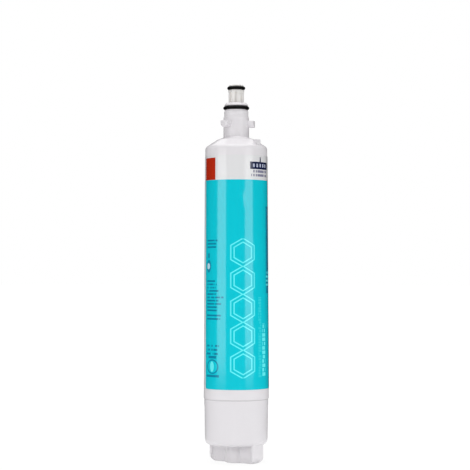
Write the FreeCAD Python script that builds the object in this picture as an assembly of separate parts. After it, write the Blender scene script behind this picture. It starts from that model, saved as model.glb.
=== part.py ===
"""Quarter-turn water filter cartridge for a refrigerator, in millimetres.

The cartridge stands upright on its finger grip: +Z runs up the axis to the outlet spigot, the origin
is on the axis at the underside of the grip, and -Y is the side that faces front when it is fitted.
A moulded housing with a bayonet neck is welded to an end cap that carries the grip. Inside them a
carbon block in a fleece wrap sits between two block caps. The upper one carries the outlet stem.
"""

import FreeCAD
import Part
import math
import os

from FreeCAD import Vector

# Grip on the end cap
grip_height = 14.0
grip_inset = 1.3
grip_end_thickness = 13.2
grip_end_depth = 3.0
grip_hub_radius = 9.0
grip_waist_thickness = 9.0
grip_flute_radius = 3.0
grip_heel_radius = 5.5
grip_edge_radius = 1.0
grip_wall = 2.4
grip_sole = 3.0

# End cap
cap_height = 36.0
cap_seam_step = 0.4
cap_draft = 0.7
cap_corner_radius = 4.2
cap_wall = 3.2
cap_floor = 3.0
cap_inner_corner = 2.5
cap_band_height = 4.6
cap_band_step = 0.12
cap_tongue_length = 6.0
cap_tongue_wall = 1.2
support_rib_height = 12.0
support_rib_length = 9.5
support_rib_inset = 2.6
support_rib_thickness = 1.8
support_rib_angles = (30, 150, 210, 330)

# Housing barrel and shoulder
barrel_length = 199.1
barrel_radius_seam = 25.8
barrel_draft = 1.2
barrel_wall = 2.4
seam_chamfer = 0.2
seam_groove_width = 0.45
seam_groove_depth = 1.0
shoulder_slope = 33.5
shoulder_corner_radius = 3.0
shoulder_inner_corner = 1.5
crown_width = 4.9
crown_slope = 18.0
crown_edge_radius = 1.5
front_tab_inset = 3.4
front_tab_depth = 3.5
front_tab_width = 5.0
front_tab_height = 3.3
front_tab_edge_radius = 0.5
front_angle = 270

# Bayonet neck
neck_length = 27.7
neck_step = 0.57
neck_waist_height = 15.5
neck_waist_length = 1.8
neck_root_radius = 1.2
neck_land_length = 1.1
neck_land_step = 0.3
neck_groove_wall = 1.53
neck_lip_chamfer = 1.3
lug_height = 10.6
lug_stand_out = 4.7
lug_width = 7.4
lug_depth = 5.2
lug_nose_depth = 3.0
lug_crest_width = 3.0
lug_edge_radius = 0.3
lug_angles = (57, 177, 297)

# Outlet stem and spigot
spigot_length = 14.3
spigot_land_length = 1.8
spigot_lip_step = 0.4
spigot_lip_chamfer = 0.4
spigot_groove_wall = 1.875
outlet_length = 10.0
stem_bore_radius = 3.2
stem_wall = 1.9
stem_guide_length = 16.7
stem_root_radius = 2.0
flute_width = 1.7
flute_count = 8
flute_first_angle = 37

# Seal rings: inner diameter and section of two standard sizes
upper_ring_inner_diameter = 9.19
upper_ring_section = 2.62
upper_ring_below_tip = 2.3
lower_ring_inner_diameter = 15.54
lower_ring_section = 2.62
lower_ring_below_neck_top = 3.9
upper_ring_stand_out = 0.9
lower_ring_stand_out = 0.8
groove_side_play = 0.4

# Filter block, wrap and block caps
block_core_radius = 5.5
wrap_thickness = 1.2
block_cap_thickness = 2.4
block_cap_skirt = 6.0
block_cap_wall = 0.9
block_cap_plug_length = 4.0
block_cap_plug_wall = 1.6
block_cap_edge_radius = 0.3
headroom = 5.5
flow_gap = 1.05
standoff_length = 6.0
standoff_inset = 2.1
standoff_thickness = 1.6
standoff_count = 6

# Label and identity tag
label_thickness = 0.2
label_gap_bottom = 8.6
label_gap_top = 7.3
label_left = 53.2
label_open_bottom = 13.2
label_corner_radius = 2.0
tag_width = 18.0
tag_height = 12.0
tag_thickness = 0.2
tag_below_label_top = 14.0

# Faces that meet at less than this angle, in degrees, count as one smooth surface
smooth_angle = 3.0

# Clearances
weld_fit = 0.1
stem_fit = 0.12
bond_gap = 0.05
seat_gap = 0.02
film_gap = 0.02

# Radii that follow from the barrel's radius at the seam
barrel_radius_top = barrel_radius_seam - barrel_draft
cap_radius_rim = barrel_radius_seam - cap_seam_step
cap_radius_floor = cap_radius_rim - cap_draft
grip_reach = cap_radius_floor - grip_inset

# Radii that follow from the seal rings, from the tip of the spigot down to the crown
upper_ring_radius = upper_ring_inner_diameter / 2 + upper_ring_section
lower_ring_radius = lower_ring_inner_diameter / 2 + lower_ring_section
upper_groove_radius = upper_ring_inner_diameter / 2 - seat_gap
lower_groove_radius = lower_ring_inner_diameter / 2 - seat_gap
outlet_radius = upper_groove_radius - spigot_groove_wall
spigot_land_radius = upper_ring_radius - upper_ring_stand_out
spigot_lip_radius = spigot_land_radius - spigot_lip_step
neck_bore_radius = lower_groove_radius - neck_groove_wall
spigot_radius = neck_bore_radius - stem_fit
stem_radius = stem_bore_radius + stem_wall
neck_radius_upper = lower_ring_radius - lower_ring_stand_out
neck_land_radius = neck_radius_upper - neck_land_step
neck_radius = neck_radius_upper + neck_step
lug_reach = neck_radius + lug_stand_out
crown_radius = neck_radius + crown_width

# Levels up the axis
floor_z = grip_height
inner_floor_z = floor_z + cap_floor
support_z = inner_floor_z + support_rib_height
seam_z = floor_z + cap_height
tongue_z = seam_z + cap_tongue_length
corner_z = seam_z + barrel_length
slope_rise = math.tan(math.radians(shoulder_slope))
crown_rise = math.tan(math.radians(crown_slope))
crown_z = corner_z + (barrel_radius_top - crown_radius) * slope_rise
neck_z = crown_z + (crown_radius - neck_radius) * crown_rise
neck_top_z = neck_z + neck_length
tip_z = neck_top_z + spigot_length
lug_z = neck_z + lug_height
upper_ring_z = tip_z - upper_ring_below_tip
lower_ring_z = neck_top_z - lower_ring_below_neck_top
block_cap_top_z = corner_z - headroom
block_top_z = block_cap_top_z - block_cap_thickness - bond_gap
block_bottom_z = support_z + block_cap_thickness + bond_gap
label_bottom_z = seam_z + label_gap_bottom
label_top_z = corner_z - label_gap_top

AXIS = Vector(0, 0, 1)
ORIGIN = Vector(0, 0, 0)


def barrel_radius(z):
    """Outer radius of the drafted barrel at a height."""
    share = (z - seam_z) / barrel_length
    return barrel_radius_seam + (barrel_radius_top - barrel_radius_seam) * share


def cap_radius(z):
    """Outer radius of the drafted end cap at a height."""
    return cap_radius_floor + (cap_radius_rim - cap_radius_floor) * (z - floor_z) / cap_height


def shoulder_inner_z(radius):
    """Height of the underside of the sloping shoulder at a radius."""
    wall_rise = barrel_wall / math.cos(math.radians(shoulder_slope))
    return corner_z + (barrel_radius_top - radius) * slope_rise - wall_rise


tongue_radius = barrel_radius(tongue_z) - barrel_wall - weld_fit
tongue_inner_radius = tongue_radius - cap_tongue_wall
narrowest_radius = min(
    barrel_radius_top - barrel_wall, tongue_inner_radius, cap_radius(support_z) - cap_wall)
block_cap_radius = narrowest_radius - flow_gap
wrap_radius = block_cap_radius - block_cap_wall - bond_gap
block_radius = wrap_radius - wrap_thickness


def rounded_outline(corners):
    """Edges of a closed outline in the XZ plane. Each corner is (x, z) or (x, z, fillet radius)."""
    starts = []
    arcs = []
    count = len(corners)
    for i, corner in enumerate(corners):
        here = Vector(corner[0], 0, corner[1])
        radius = corner[2] if len(corner) > 2 else 0
        if radius == 0:
            starts.append((here, here))
            arcs.append(None)
            continue
        before = corners[i - 1]
        after = corners[(i + 1) % count]
        back = (Vector(before[0], 0, before[1]) - here).normalize()
        on = (Vector(after[0], 0, after[1]) - here).normalize()
        half = back.getAngle(on) / 2
        inward = (back + on).normalize()
        centre = here + inward * (radius / math.sin(half))
        first = here + back * (radius / math.tan(half))
        last = here + on * (radius / math.tan(half))
        starts.append((first, last))
        arcs.append(Part.Arc(first, centre - inward * radius, last).toShape())
    edges = []
    for i in range(count):
        if arcs[i] is not None:
            edges.append(arcs[i])
        leave = starts[i][1]
        arrive = starts[(i + 1) % count][0]
        edges.append(Part.LineSegment(leave, arrive).toShape())
    return edges


def turned(corners):
    """Solid of revolution about the axis from a closed outline of (radius, height, fillet) corners."""
    face = Part.Face(Part.Wire(rounded_outline(corners)))
    return face.revolve(ORIGIN, AXIS, 360)


def tube(inner, outer, low, high):
    """Plain ring between two radii and two heights."""
    return turned([(inner, low), (outer, low), (outer, high), (inner, high)])


def turned_about_axis(shape, angle):
    """Copy of a shape turned about the axis by an angle in degrees."""
    copy = shape.copy()
    copy.rotate(ORIGIN, AXIS, angle)
    return copy


def edges_where(shape, test):
    """Edges of a shape whose two ends and middle all pass a test on a point."""
    found = []
    for edge in shape.Edges:
        points = [edge.valueAt(edge.FirstParameter), edge.valueAt(edge.LastParameter), edge.CenterOfMass]
        if all(test(p) for p in points):
            found.append(edge)
    return found


def is_sharp(shape, edge):
    """True where the two faces beside an edge meet at an angle instead of running on smoothly."""
    middle = edge.valueAt((edge.FirstParameter + edge.LastParameter) / 2)
    normals = []
    for face in shape.ancestorsOfType(edge, Part.Face):
        u, v = face.Surface.parameter(middle)
        normals.append(face.normalAt(u, v))
    return len(normals) == 2 and normals[0].getAngle(normals[1]) > math.radians(smooth_angle)


def grip_outline():
    """Plan of the grip bar along Y: a round hub, a finger flute each side of it, and two wide ends."""
    end_x = grip_end_thickness / 2
    end_y = math.sqrt(grip_reach ** 2 - end_x ** 2)
    waist_x = grip_waist_thickness / 2
    hub_y = math.sqrt(grip_hub_radius ** 2 - waist_x ** 2)
    lip_y = grip_reach - grip_end_depth
    bend_x = waist_x + grip_flute_radius
    bend_y = lip_y - math.sqrt(grip_flute_radius ** 2 - (bend_x - end_x) ** 2)
    halfway = (math.pi + math.atan2(lip_y - bend_y, end_x - bend_x)) / 2
    middle_x = bend_x + grip_flute_radius * math.cos(halfway)
    middle_y = bend_y + grip_flute_radius * math.sin(halfway)
    edges = []
    for sx in (1, -1):
        hub_ends = []
        for sy in (1, -1):
            hub = Vector(sx * waist_x, sy * hub_y, 0)
            floor = Vector(sx * waist_x, sy * bend_y, 0)
            middle = Vector(sx * middle_x, sy * middle_y, 0)
            lip = Vector(sx * end_x, sy * lip_y, 0)
            edges.append(Part.LineSegment(hub, floor).toShape())
            edges.append(Part.Arc(floor, middle, lip).toShape())
            edges.append(Part.LineSegment(lip, Vector(sx * end_x, sy * end_y, 0)).toShape())
            hub_ends.append(hub)
        edges.append(Part.Arc(hub_ends[0], Vector(sx * grip_hub_radius, 0, 0), hub_ends[1]).toShape())
    for sy in (1, -1):
        left, right = Vector(-end_x, sy * end_y, 0), Vector(end_x, sy * end_y, 0)
        edges.append(Part.Arc(left, Vector(0, sy * grip_reach, 0), right).toShape())
    return Part.Wire(Part.sortEdges(edges)[0])


def grip_bar():
    """The bar that fingers turn, with rounded heels and every edge softened."""
    height = grip_height + cap_corner_radius / 2
    bar = Part.Face(grip_outline()).extrude(Vector(0, 0, height))
    heels = turned([(0, 0), (grip_reach, 0, grip_heel_radius), (grip_reach, height), (0, height)])
    bar = bar.common(heels)
    below_root = [e for e in bar.Edges if e.CenterOfMass.z < height - grip_edge_radius]
    return bar.makeFillet(grip_edge_radius, [e for e in below_root if is_sharp(bar, e)])


def grip_core():
    """Moulding core of the grip: its plan taken in by the wall, open to the inside of the cap."""
    plan = Part.Face(grip_outline()).makeOffset2D(-grip_wall)
    plan.translate(Vector(0, 0, grip_sole))
    return plan.extrude(Vector(0, 0, inner_floor_z - grip_sole))


def end_cap():
    """Cup-shaped cap with the grip below, a weld tongue above and ribs that carry the filter block."""
    band_z = seam_z - cap_band_height
    cup = turned([
        (0, floor_z),
        (cap_radius_floor, floor_z, cap_corner_radius),
        (cap_radius(band_z) - cap_band_step, band_z),
        (cap_radius(band_z), band_z),
        (cap_radius_rim, seam_z - seam_chamfer),
        (cap_radius_rim - seam_chamfer, seam_z),
        (tongue_radius, seam_z),
        (tongue_radius, tongue_z),
        (tongue_inner_radius, tongue_z),
        (tongue_inner_radius, seam_z),
        (cap_radius_floor - cap_wall, inner_floor_z, cap_inner_corner),
        (0, inner_floor_z),
    ])
    cap = cup.fuse(grip_bar()).cut(grip_core())
    rib_inner = block_cap_radius - support_rib_inset - support_rib_length
    rib_root = cap_floor / 2
    rib = Part.makeBox(
        support_rib_length, support_rib_thickness, support_rib_height + rib_root,
        Vector(rib_inner, -support_rib_thickness / 2, inner_floor_z - rib_root))
    ribs = [turned_about_axis(rib, angle) for angle in support_rib_angles]
    return cap.fuse(ribs).removeSplitter()


def ring_groove(section):
    """Width of the groove that a seal ring of this section sits in."""
    return section + 2 * groove_side_play


def housing_shell():
    """Barrel, shoulder and neck as one turned wall, open at the seam and at the top of the neck."""
    groove_low = lower_ring_z - ring_groove(lower_ring_section) / 2
    groove_high = lower_ring_z + ring_groove(lower_ring_section) / 2
    land_z = groove_low - neck_land_length
    mouth_radius = barrel_radius_seam - barrel_wall
    inner_top_radius = barrel_radius_top - barrel_wall
    waist_z = neck_z + neck_waist_height
    seam_floor_radius = barrel_radius_seam - seam_groove_depth
    seam_lip_z = seam_z + seam_groove_width
    return turned([
        (mouth_radius, seam_z),
        (seam_floor_radius, seam_z),
        (seam_floor_radius, seam_lip_z),
        (barrel_radius(seam_lip_z) - seam_chamfer, seam_lip_z),
        (barrel_radius(seam_lip_z + seam_chamfer), seam_lip_z + seam_chamfer),
        (barrel_radius_top, corner_z, shoulder_corner_radius),
        (crown_radius, crown_z, crown_edge_radius),
        (neck_radius, neck_z, neck_root_radius),
        (neck_radius, waist_z),
        (neck_radius_upper, waist_z + neck_waist_length),
        (neck_radius_upper, land_z),
        (neck_land_radius, land_z),
        (neck_land_radius, groove_low),
        (lower_groove_radius, groove_low),
        (lower_groove_radius, groove_high),
        (neck_land_radius, groove_high),
        (neck_land_radius, neck_top_z - neck_lip_chamfer),
        (neck_land_radius - neck_lip_chamfer, neck_top_z),
        (neck_bore_radius, neck_top_z),
        (neck_bore_radius, shoulder_inner_z(neck_bore_radius)),
        (inner_top_radius, shoulder_inner_z(inner_top_radius), shoulder_inner_corner),
    ])


def bayonet_lug():
    """One locking lug, pointing along +X, with a flat top, ramped lower corners and a round outer face."""
    half = lug_width / 2
    crest = lug_crest_width / 2
    root_x = math.sqrt(neck_radius ** 2 - half ** 2) - lug_edge_radius
    top = lug_z + lug_depth / 2
    corners = [
        (-half, top), (half, top), (half, top - lug_nose_depth),
        (crest, top - lug_depth), (-crest, top - lug_depth), (-half, top - lug_nose_depth)]
    points = [Vector(root_x, y, z) for y, z in corners]
    prism = Part.Face(Part.makePolygon(points + points[:1])).extrude(Vector(lug_reach, 0, 0))
    lug = prism.common(Part.makeCylinder(lug_reach, 2 * lug_depth, Vector(0, 0, lug_z - lug_depth)))
    outer = edges_where(lug, lambda p: math.hypot(p.x, p.y) > lug_reach - 1e-3)
    return lug.makeFillet(lug_edge_radius, outer)


def front_tab():
    """Small upright tab on the shoulder that marks the front of the cartridge."""
    middle = barrel_radius_top - front_tab_inset
    outer = middle + front_tab_depth / 2
    root_z = corner_z + (barrel_radius_top - outer) * slope_rise - barrel_wall / 4
    foot_z = corner_z + front_tab_inset * slope_rise
    tab = Part.makeBox(
        front_tab_depth, front_tab_width, foot_z + front_tab_height - root_z,
        Vector(outer - front_tab_depth, -front_tab_width / 2, root_z))
    tab = tab.makeFillet(front_tab_edge_radius, edges_where(tab, lambda p: p.z > foot_z))
    return turned_about_axis(tab, front_angle)


def tag_blank(depth, margin):
    """Curved patch just under the label at the front, of the tag's outline grown by a margin."""
    low = label_top_z - tag_below_label_top - tag_height / 2 - margin
    high = low + tag_height + 2 * margin
    skin = turned([
        (barrel_radius(low) - depth, low), (barrel_radius(low), low),
        (barrel_radius(high), high), (barrel_radius(high) - depth, high)])
    width = tag_width + 2 * margin
    window = Part.makeBox(2 * barrel_radius_seam, width, high - low, Vector(0, -width / 2, low))
    return skin.common(turned_about_axis(window, front_angle))


def housing():
    """The housing with its three lugs, its front tab and the shallow seat for the identity tag."""
    lug = bayonet_lug()
    shell = housing_shell().fuse([turned_about_axis(lug, angle) for angle in lug_angles] + [front_tab()])
    return shell.cut(tag_blank(tag_thickness + film_gap, film_gap)).removeSplitter()


def identity_tag():
    """Thin tag laid in its seat, just under the label."""
    patch = tag_blank(tag_thickness + film_gap, 0)
    return patch.cut(tag_blank(film_gap, film_gap))


def label_opening():
    """Cutter for the bare strip between the film's two ends and for their rounded corners.

    The film is cut straight, so its ends keep their distance round the barrel from the front line, and
    the strip narrows upwards with the barrel.
    """
    low, high = label_bottom_z, label_top_z
    below, above = low - label_corner_radius, high + label_corner_radius
    radii = [barrel_radius(z) + film_gap for z in (low, high)]
    label_width = 2 * math.pi * radii[0] - label_open_bottom
    left_end = [-label_left / radius for radius in radii]
    right_end = [(label_width - label_left) / radius - 2 * math.pi for radius in radii]
    middle = (sum(left_end) + sum(right_end)) / 4
    near = [radius * math.sin(angle - middle) for radius, angle in zip(radii, left_end)]
    far = [radius * math.sin(angle - middle) for radius, angle in zip(radii, right_end)]
    flare = 2 * label_corner_radius
    plan = Part.Face(Part.Wire(rounded_outline([
        (near[0] + flare, below), (near[0] + flare, low), (near[0], low, label_corner_radius),
        (near[1], high, label_corner_radius), (near[1] + flare, high), (near[1] + flare, above),
        (far[1] - flare, above), (far[1] - flare, high), (far[1], high, label_corner_radius),
        (far[0], low, label_corner_radius), (far[0] - flare, low), (far[0] - flare, below)])))
    bar = plan.extrude(Vector(0, -2 * barrel_radius_seam, 0))
    return turned_about_axis(bar, math.degrees(middle))


def label():
    """Film wrapped round the barrel between the seam collar and the shoulder, open where its ends face."""
    low, high = label_bottom_z, label_top_z
    inner_low = barrel_radius(low) + film_gap
    inner_high = barrel_radius(high) + film_gap
    sleeve = turned([
        (inner_low, low), (inner_low + label_thickness, low),
        (inner_high + label_thickness, high), (inner_high, high)])
    return sleeve.cut(label_opening())


def seal_ring(inner_diameter, section, z):
    """Round rubber ring resting on the bottom of its groove."""
    return Part.makeTorus(inner_diameter / 2 + section / 2, section / 2, Vector(0, 0, z), AXIS)


def stem_flute():
    """Cutter for one water channel along the stem, pointing along +X."""
    top = upper_ring_z - ring_groove(upper_ring_section) / 2 - spigot_land_length
    length = top - (neck_top_z - stem_guide_length) + spigot_radius
    return Part.makeBox(
        spigot_radius, flute_width, length, Vector(stem_radius, -flute_width / 2, top - length))


def standoff_rib():
    """Rib that holds the upper block cap away from the shoulder so water can pass, pointing along +X."""
    low = block_cap_top_z - block_cap_thickness / 2
    side = -standoff_thickness / 2
    outer = block_cap_radius - standoff_inset
    inner = outer - standoff_length
    profile = [
        Vector(inner, side, low),
        Vector(outer, side, low),
        Vector(outer, side, shoulder_inner_z(outer) - bond_gap),
        Vector(inner, side, shoulder_inner_z(inner) - bond_gap)]
    return Part.Face(Part.makePolygon(profile + profile[:1])).extrude(Vector(0, standoff_thickness, 0))


def outlet_cap():
    """Upper block cap and outlet stem in one moulding, with the fluted spigot and its ring groove on top."""
    groove_low = upper_ring_z - ring_groove(upper_ring_section) / 2
    groove_high = upper_ring_z + ring_groove(upper_ring_section) / 2
    disc_low = block_cap_top_z - block_cap_thickness
    skirt_z = disc_low - block_cap_skirt
    plug_radius = block_core_radius - bond_gap
    plug_z = disc_low - block_cap_plug_length
    rib_z = neck_top_z - stem_guide_length
    cap = turned([
        (stem_bore_radius, plug_z),
        (plug_radius, plug_z),
        (plug_radius, disc_low),
        (wrap_radius + bond_gap, disc_low),
        (wrap_radius + bond_gap, skirt_z),
        (block_cap_radius, skirt_z),
        (block_cap_radius, block_cap_top_z, block_cap_edge_radius),
        (stem_radius, block_cap_top_z, stem_root_radius),
        (stem_radius, rib_z),
        (spigot_radius, rib_z),
        (spigot_radius, groove_low - spigot_land_length),
        (spigot_land_radius, groove_low - spigot_land_length),
        (spigot_land_radius, groove_low),
        (upper_groove_radius, groove_low),
        (upper_groove_radius, groove_high),
        (spigot_lip_radius, groove_high),
        (spigot_lip_radius, tip_z - spigot_lip_chamfer),
        (spigot_lip_radius - spigot_lip_chamfer, tip_z),
        (outlet_radius, tip_z),
        (outlet_radius, tip_z - outlet_length),
        (stem_bore_radius, tip_z - outlet_length),
    ])
    step = 360 / flute_count
    flutes = [turned_about_axis(stem_flute(), flute_first_angle + i * step) for i in range(flute_count)]
    ribs = [turned_about_axis(standoff_rib(), i * 360 / standoff_count) for i in range(standoff_count)]
    return cap.cut(flutes).fuse(ribs).removeSplitter()


def lower_block_cap():
    """Closed cap bonded under the filter block, with a skirt outside and a plug in the core."""
    low = support_z
    top = low + block_cap_thickness
    plug_radius = block_core_radius - bond_gap
    plug_top = top + block_cap_plug_length
    return turned([
        (0, low),
        (block_cap_radius, low, block_cap_edge_radius),
        (block_cap_radius, top + block_cap_skirt),
        (wrap_radius + bond_gap, top + block_cap_skirt),
        (wrap_radius + bond_gap, top),
        (plug_radius, top),
        (plug_radius, plug_top),
        (plug_radius - block_cap_plug_wall, plug_top),
        (plug_radius - block_cap_plug_wall, top),
        (0, top),
    ])


def carbon_block():
    """Pressed carbon cylinder with its hollow core."""
    return tube(block_core_radius, block_radius, block_bottom_z, block_top_z)


def fleece_wrap():
    """Fleece wound on the outside of the carbon block."""
    return tube(block_radius, wrap_radius, block_bottom_z, block_top_z)


PIECES = {
    "housing": housing,
    "end_cap": end_cap,
    "outlet_cap": outlet_cap,
    "lower_block_cap": lower_block_cap,
    "carbon_block": carbon_block,
    "fleece_wrap": fleece_wrap,
    "upper_seal_ring": lambda: seal_ring(upper_ring_inner_diameter, upper_ring_section, upper_ring_z),
    "lower_seal_ring": lambda: seal_ring(lower_ring_inner_diameter, lower_ring_section, lower_ring_z),
    "label": label,
    "identity_tag": identity_tag,
}


def main():
    os.makedirs("parts", exist_ok=True)
    for name, make in PIECES.items():
        shape = make()
        solids = shape.Solids
        print(f"{name}: {len(solids)} solid, valid {shape.isValid()}, {shape.Volume / 1000:.2f} cm3, "
              f"{len(shape.Faces)} faces")
        (solids[0] if len(solids) == 1 else shape).exportStep(f"parts/{name}.step")
    print(f"overall height {tip_z:.2f} mm, neck top {neck_top_z:.2f}, crown {crown_z:.2f}, lugs {lug_z:.2f}")


main()
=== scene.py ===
# %% [markdown]
# # A refrigerator water filter cartridge
#
# The real cartridge is a tall moulded bottle. A white barrel with a stepped neck is welded to a cup with
# a finger grip, two rubber rings seal the neck and its spigot, and a glossy printed film is wrapped round
# the barrel. The solids come from CAD and fix every size. Blender gives them moulded edges, the film with
# its print, finishes, studio light and a camera.

# %% Load the solids
import math
import bmesh
import bpy
from mathutils import Matrix, Vector


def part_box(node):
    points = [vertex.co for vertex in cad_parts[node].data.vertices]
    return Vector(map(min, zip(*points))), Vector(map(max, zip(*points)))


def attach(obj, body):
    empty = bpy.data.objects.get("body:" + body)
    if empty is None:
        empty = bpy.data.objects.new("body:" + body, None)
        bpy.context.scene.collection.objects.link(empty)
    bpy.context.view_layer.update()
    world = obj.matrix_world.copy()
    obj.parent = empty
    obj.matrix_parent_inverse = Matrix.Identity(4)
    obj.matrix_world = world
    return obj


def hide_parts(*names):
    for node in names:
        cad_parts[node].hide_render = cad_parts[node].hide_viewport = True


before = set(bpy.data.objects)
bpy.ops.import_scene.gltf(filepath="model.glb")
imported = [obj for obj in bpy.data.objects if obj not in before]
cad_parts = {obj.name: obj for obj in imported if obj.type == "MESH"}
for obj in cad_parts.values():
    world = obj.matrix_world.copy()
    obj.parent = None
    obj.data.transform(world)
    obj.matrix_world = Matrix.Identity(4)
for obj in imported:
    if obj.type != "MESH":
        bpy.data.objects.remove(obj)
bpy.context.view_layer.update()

MM = 0.001
print("solids:", ", ".join(sorted(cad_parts)))

# %% [markdown]
# ## Sizes read from the solids
#
# A dressed part has to sit exactly on its solids, so the main levels and radii are measured here and not
# typed again. A solid's box gives its lowest and highest corner. A turned piece lies round the Z axis, so
# the highest X or Y of its box is its outer radius.

# %% Measure the solids
def levels(node):
    """Lowest and highest Z of a solid."""
    low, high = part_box(node)
    return low.z, high.z


def outer_radius(node):
    """Largest distance of a turned solid from the axis."""
    _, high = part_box(node)
    return max(high.x, high.y)


seam_z, neck_top_z = levels("housing")
label_low_z, label_high_z = levels("label")
ring_low_z, ring_high_z = levels("upper_seal_ring")
ring_section = ring_high_z - ring_low_z
upper_ring_z = (ring_low_z + ring_high_z) / 2
lower_ring_z = sum(levels("lower_seal_ring")) / 2
upper_ring_radius = outer_radius("upper_seal_ring")
lower_ring_radius = outer_radius("lower_seal_ring")
barrel_foot_radius = outer_radius("housing")
print(f"seam {seam_z / MM:.1f} mm, neck top {neck_top_z / MM:.1f} mm")
print(f"barrel radius {barrel_foot_radius / MM:.1f} mm, ring section {ring_section / MM:.2f} mm")

# %% [markdown]
# ## Two habits that keep operators safe
#
# An operator works on whatever is selected, and loading leaves the solids selected. So every piece starts
# with a clean slate. Faces and edges are then picked in code by where they are, as one would click them.

# %% Selection helpers
def clean_slate():
    """Leave edit mode and select nothing."""
    if bpy.context.object and bpy.context.object.mode != "OBJECT":
        bpy.ops.object.mode_set(mode="OBJECT")
    bpy.ops.object.select_all(action="DESELECT")
    bpy.context.tool_settings.mesh_select_mode = (True, False, False)


def select_only(piece):
    clean_slate()
    piece.select_set(True)
    bpy.context.view_layer.objects.active = piece


def pick(piece, kind, test):
    """In edit mode, select the verts, edges or faces whose corners all pass the test, and count them."""
    bpy.ops.mesh.select_mode(type={"verts": "VERT", "edges": "EDGE", "faces": "FACE"}[kind])
    bpy.ops.mesh.select_all(action="DESELECT")
    shape = bmesh.from_edit_mesh(piece.data)
    count = 0
    for element in getattr(shape, kind):
        corners = [element] if kind == "verts" else element.verts
        if all(test(corner.co) for corner in corners):
            element.select_set(True)
            count += 1
    bmesh.update_edit_mesh(piece.data)
    return count


def apply_modifier(piece, kind, **settings):
    """Add a modifier with its settings and apply it at once."""
    select_only(piece)
    modifier = piece.modifiers.new(kind.lower(), kind)
    for name, value in settings.items():
        setattr(modifier, name, value)
    bpy.ops.object.modifier_apply(modifier=modifier.name)


clean_slate()
print("selected after a clean slate:", len(bpy.context.selected_objects))

# %% [markdown]
# ## Turning a wall
#
# Most of this object is round, as if turned on a lathe. By hand one adds a circle, extrudes it up and
# scales it from corner to corner of the profile, and comes back down the inside until the wall is closed.
# Spin would do it too, but extruding rings keeps an edge loop at each corner, and each loop can then be
# bevelled with its own radius.

# %% Rings and corners
RING_STEPS = 160
HAIR = 0.001 * MM
BEVEL_STEP = math.radians(8)


def axis_distance(p):
    return math.hypot(p.x, p.y)


def widen(factor, z):
    """In edit mode, scale what is selected round the axis."""
    bpy.ops.transform.resize(value=(factor, factor, 1), center_override=(0, 0, z))


def extrude_ring(rise, factor, z):
    """In edit mode, extrude the selected ring upwards to a height and scale it there."""
    bpy.ops.mesh.extrude_region_move(TRANSFORM_OT_translate={"value": (0, 0, rise)})
    widen(factor, z)


def close_shell():
    """In edit mode, merge doubled corners and turn every face outwards."""
    bpy.ops.mesh.select_all(action="SELECT")
    bpy.ops.mesh.remove_doubles(threshold=HAIR)
    bpy.ops.mesh.normals_make_consistent(inside=False)


def round_corner(piece, before, corner, after):
    """Bevel the edge loop at a corner of the profile to the radius that the corner asks for."""
    here = Vector(corner[:2])
    angle = (Vector(before[:2]) - here).angle(Vector(after[:2]) - here)
    reach = corner[2] / math.tan(angle / 2)
    steps = max(2, round((math.pi - angle) / BEVEL_STEP))
    near = 10 * HAIR
    pick(piece, "edges", lambda p: abs(axis_distance(p) - here.x) < near and abs(p.z - here.y) < near)
    bpy.ops.mesh.bevel(offset=reach, segments=steps, profile=0.5, affect="EDGES", clamp_overlap=False)


print("steps round a turned piece:", RING_STEPS)

# %% Turned walls and smooth shading
def turned_wall(name, corners):
    """A closed wall through (radius, height) corners, in metres. A third number rounds the corner."""
    clean_slate()
    radius, height = corners[0][:2]
    bpy.ops.mesh.primitive_circle_add(vertices=RING_STEPS, radius=radius, location=(0, 0, height))
    piece = bpy.context.object
    piece.name = name
    bpy.ops.object.mode_set(mode="EDIT")
    bpy.ops.mesh.select_all(action="SELECT")
    for corner in corners[1:] + corners[:1]:
        extrude_ring(corner[1] - height, corner[0] / radius, corner[1])
        radius, height = corner[:2]
    close_shell()
    bpy.ops.object.mode_set(mode="OBJECT")
    bpy.ops.object.transform_apply(location=True, rotation=True, scale=True)
    bpy.ops.object.mode_set(mode="EDIT")
    for index, corner in enumerate(corners):
        if len(corner) > 2:
            round_corner(piece, corners[index - 1], corner, corners[(index + 1) % len(corners)])
    bpy.ops.object.mode_set(mode="OBJECT")
    print(f"{name}: {len(corners)} corners turned")
    return piece


def finish_mesh(piece, sharp=35):
    """Smooth shading that stops at edges sharper than an angle and keeps broad faces true."""
    select_only(piece)
    bpy.ops.object.shade_smooth_by_angle(angle=math.radians(sharp))
    apply_modifier(piece, "WEIGHTED_NORMAL", keep_sharp=True, weight=80)
    print(f"{piece.name}: {len(piece.data.polygons)} faces")


# %% [markdown]
# ## The housing wall
#
# Barrel, shoulder and neck are one moulding. The barrel narrows a little towards the top, because a
# moulding needs draft to leave its mould. The shoulder slopes at two angles, and the neck steps in below
# the groove of the lower seal ring. A narrow groove at the foot hides the flash of the weld and draws the
# dark seam line. Radii are measured from the axis, and heights from the levels of the solids.

# %% Housing sizes
barrel_draft = 1.2 * MM
barrel_wall = 2.4 * MM
seam_chamfer = 0.2 * MM
seam_groove_width, seam_groove_depth = 0.45 * MM, 1.0 * MM
shoulder_angle, shoulder_radius = 33.5, 3.0 * MM
crown_angle, crown_width, crown_radius = 18, 4.9 * MM, 1.5 * MM
neck_length, neck_root_radius = 27.7 * MM, 1.2 * MM
waist_height, waist_length, waist_step = 15.5 * MM, 1.8 * MM, 0.57 * MM
land_length, land_step = 1.1 * MM, 0.3 * MM
lip_chamfer = 1.3 * MM
edge_soft = 0.25 * MM
ring_proud, ring_clearance = 0.8 * MM, 0.02 * MM
groove_play, groove_wall = 0.4 * MM, 1.55 * MM

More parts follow.
